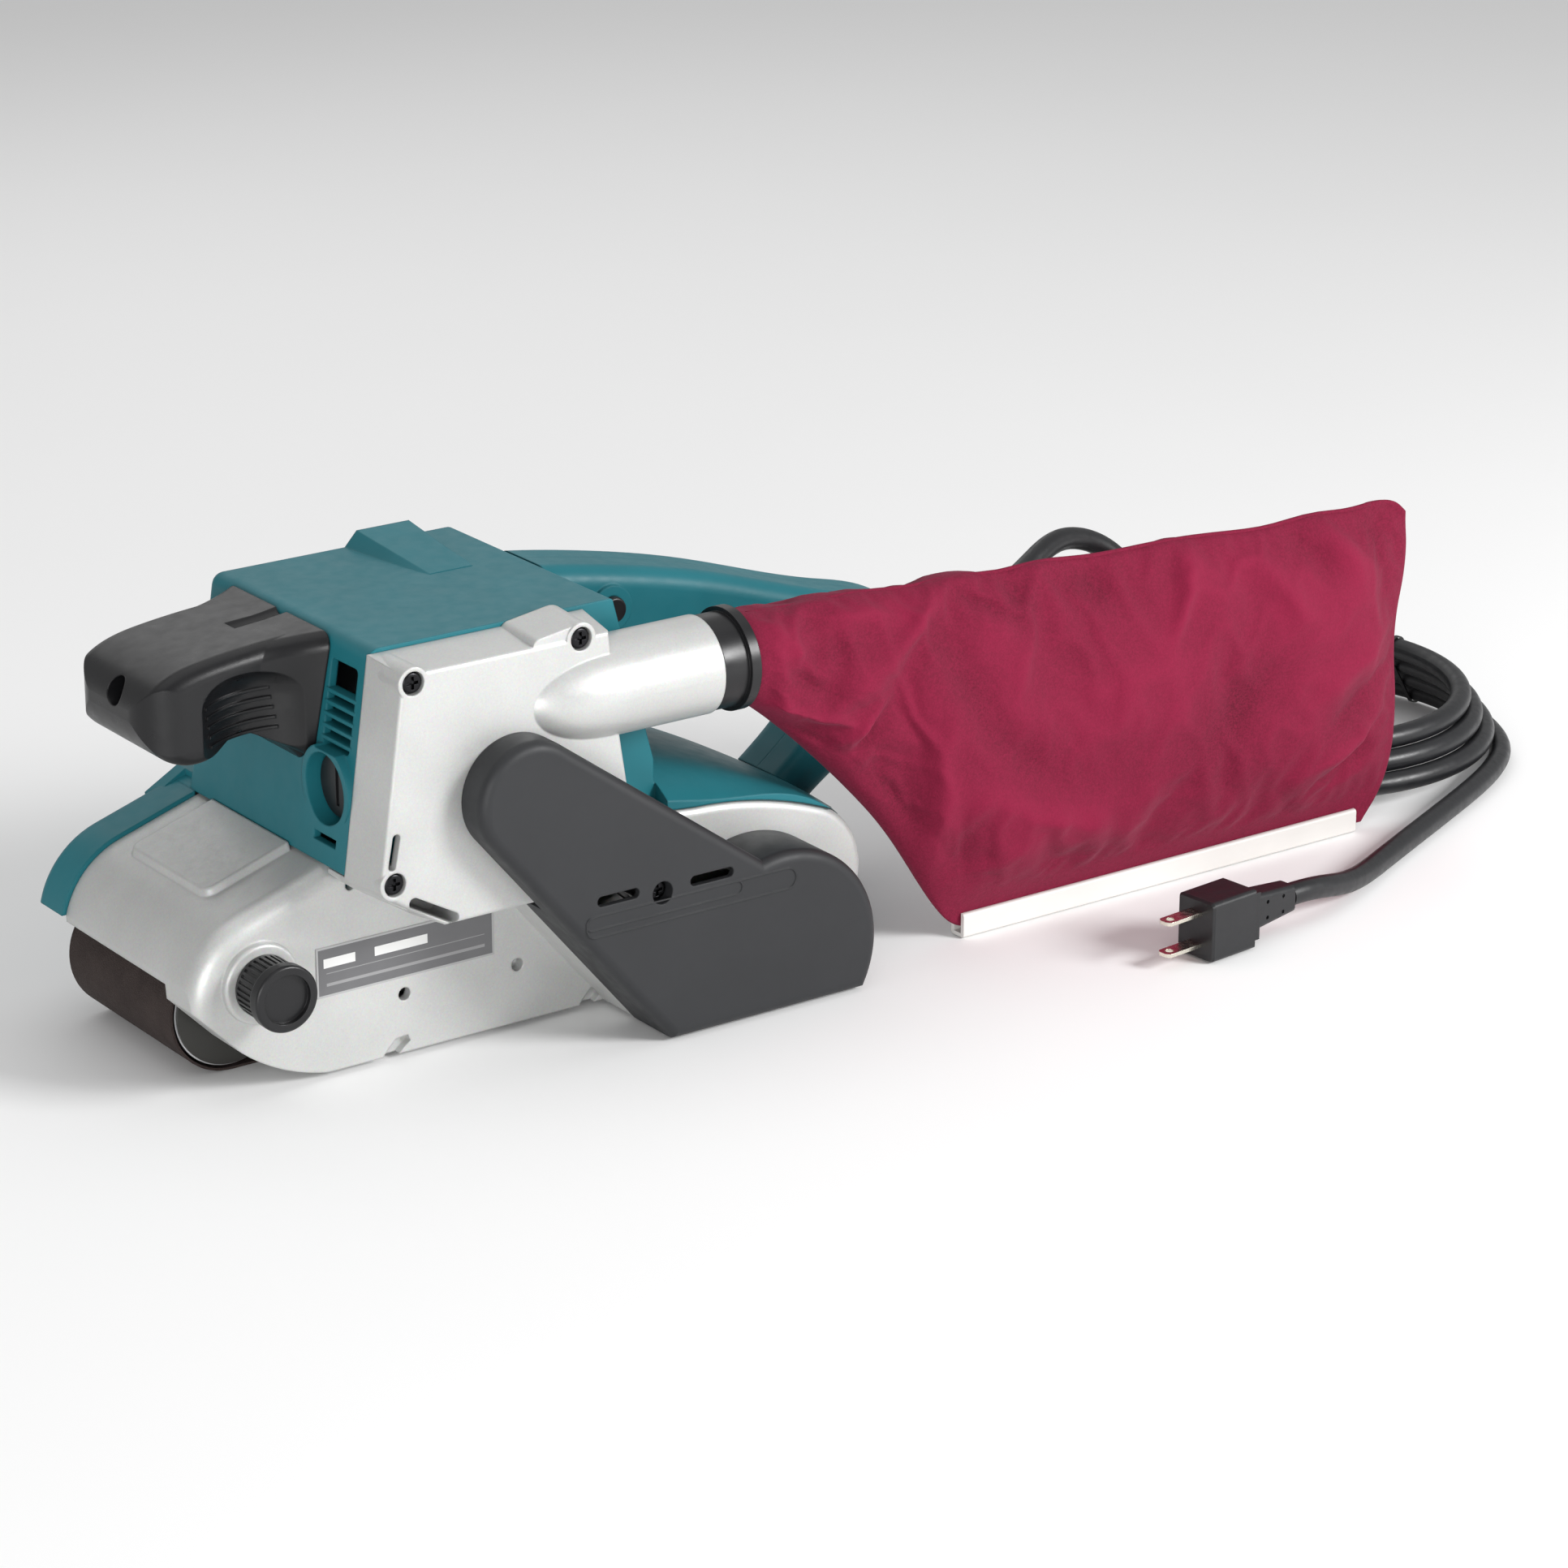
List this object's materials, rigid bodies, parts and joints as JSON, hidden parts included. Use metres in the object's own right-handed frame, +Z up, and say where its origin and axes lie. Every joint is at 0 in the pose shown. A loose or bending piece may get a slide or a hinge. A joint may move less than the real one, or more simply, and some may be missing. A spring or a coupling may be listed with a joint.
{
  "type": "handheld belt sander",
  "caption": "Handheld belt sander with a cast frame, moulded motor housing, front grip, D-handle, side dust nozzle with cloth bag, and a coiled cord with plug.",
  "frame": {"origin": "on the work surface under the middle of the sole, half-way between the roller axles and at mid belt width", "axes": "+X towards the rear handle, -Y towards the belt-cover side, +Z up, away from the work"},
  "size_m": [0.6546, 0.2539, 0.166],
  "materials": {
    "casting": "satin silver paint",
    "teal_plastic": "satin moulded teal",
    "charcoal_plastic": "matt moulded charcoal",
    "black_plastic": "satin moulded black",
    "black_screw": "blackened steel",
    "steel": "ground steel",
    "aluminium": "turned",
    "roller_paint": "satin grey",
    "core_steel": "laminated",
    "copper": "enamelled copper wire",
    "brass": "drawn",
    "carbon": "pressed carbon",
    "rubber": "matt",
    "cord_rubber": "satin black",
    "abrasive": "brown grit on cloth",
    "graphite": "graphite-coated cloth",
    "label": "blank film, satin",
    "bag_cloth": "woven burgundy cloth",
    "white_plastic": "satin off-white"
  },
  "bodies": {
    "machine": {"frame": "casting", "motor_housing": "teal_plastic", "handle_near": "teal_plastic", "handle_far": "teal_plastic", "front_grip": "charcoal_plastic", "front_grip_screw": "black_screw", "side_cover": "casting", "side_cover_screws": "black_screw", "belt_cover": "charcoal_plastic", "belt_cover_screw": "black_screw", "stator": "core_steel", "field_coils": "copper", "motor_bearings": "steel", "brush_holders": "brass", "carbon_brushes": "carbon", "brush_caps": "black_plastic", "switch_body": "black_plastic", "sole_plate": "steel", "sole_pad": "graphite", "sole_screws": "steel", "sanding_belt": "abrasive", "drive_bearings": "steel", "tension_spring": "steel", "timing_belt": "rubber", "rating_label": "label", "handle_screws": "black_screw", "power_cord": "cord_rubber", "cord_guard": "cord_rubber", "cord_tie": "black_plastic", "plug_body": "cord_rubber", "plug_prongs": "brass", "lever_pin": "steel", "trigger_pin": "steel"},
    "trigger": {"trigger": "charcoal_plastic"},
    "lock_button": {"lock_button": "black_plastic"},
    "tracking_knob": {"tracking_knob": "black_plastic", "tracking_screw": "steel"},
    "tension_lever": {"tension_lever": "steel"},
    "tension_carriage": {"tension_carriage": "aluminium", "fork_pin": "steel"},
    "roller_fork": {"roller_fork": "steel", "front_axle": "steel"},
    "front_roller": {"front_roller": "aluminium", "roller_bearings": "steel", "roller_caps": "roller_paint"},
    "drive_drum": {"drive_drum": "aluminium", "drum_lining": "rubber", "drive_shaft": "steel", "large_pulley": "charcoal_plastic"},
    "motor_rotor": {"armature": "core_steel", "commutator": "copper", "motor_shaft": "steel", "dust_fan": "black_plastic", "small_pulley": "steel"},
    "dust_bag": {"dust_bag": "bag_cloth", "bag_collar": "black_plastic"},
    "bag_clip": {"bag_clip": "white_plastic"}
  },
  "joints": [
    {"name": "trigger_pull", "type": "hinge", "parent": "machine", "child": "trigger", "pos_m": [0.069, -0.015, 0.118], "axis": [0, -1, 0], "range_deg": [0, 8]},
    {"name": "lock_press", "type": "slide", "parent": "machine", "child": "lock_button", "axis": [0, 1, 0], "range_m": [0, 0.003]},
    {"name": "knob_turn", "type": "hinge", "parent": "machine", "child": "tracking_knob", "pos_m": [-0.099, -0.075, 0.043], "axis": [0, 1, 0], "range_deg": [-180, 180]},
    {"name": "lever_swing", "type": "hinge", "parent": "machine", "child": "tension_lever", "pos_m": [-0.03, 0.033, 0.024], "axis": [0, 0, 1], "range_deg": [0, 90]},
    {"name": "carriage_slide", "type": "slide", "parent": "machine", "child": "tension_carriage", "axis": [1, 0, 0], "range_m": [0, 0.008], "deforming": ["tension_spring"]},
    {"name": "fork_yaw", "type": "hinge", "parent": "tension_carriage", "child": "roller_fork", "pos_m": [-0.06, 0, 0.024], "axis": [0, 0, 1], "range_deg": [-0.85, 0.85]},
    {"name": "front_roller_spin", "type": "hinge", "parent": "roller_fork", "child": "front_roller", "pos_m": [-0.09638, 0, 0.02395], "axis": [0, 1, 0], "continuous": true},
    {"name": "drive_spin", "type": "hinge", "parent": "machine", "child": "drive_drum", "pos_m": [0.09638, 0, 0.02395], "axis": [0, 1, 0], "continuous": true},
    {"name": "motor_spin", "type": "hinge", "parent": "machine", "child": "motor_rotor", "pos_m": [-0.012, 0, 0.105], "axis": [0, 1, 0], "continuous": true},
    {"name": "bag_swivel", "type": "hinge", "parent": "machine", "child": "dust_bag", "pos_m": [0.078, -0.087, 0.133], "axis": [1, 0, 0], "range_deg": [-6, 0]},
    {"name": "clip_slide", "type": "slide", "parent": "dust_bag", "child": "bag_clip", "axis": [-1, 0, 0], "range_m": [0, 0.04]}
  ],
  "couplings": [
    {"joint": "fork_yaw", "follows": "knob_turn", "ratio": 0.004444},
    {"joint": "lever_swing", "follows": "carriage_slide", "rad_per_m": 196},
    {"joint": "motor_spin", "follows": "drive_spin", "ratio": 3},
    {"joint": "front_roller_spin", "follows": "drive_spin", "ratio": 1}
  ]
}
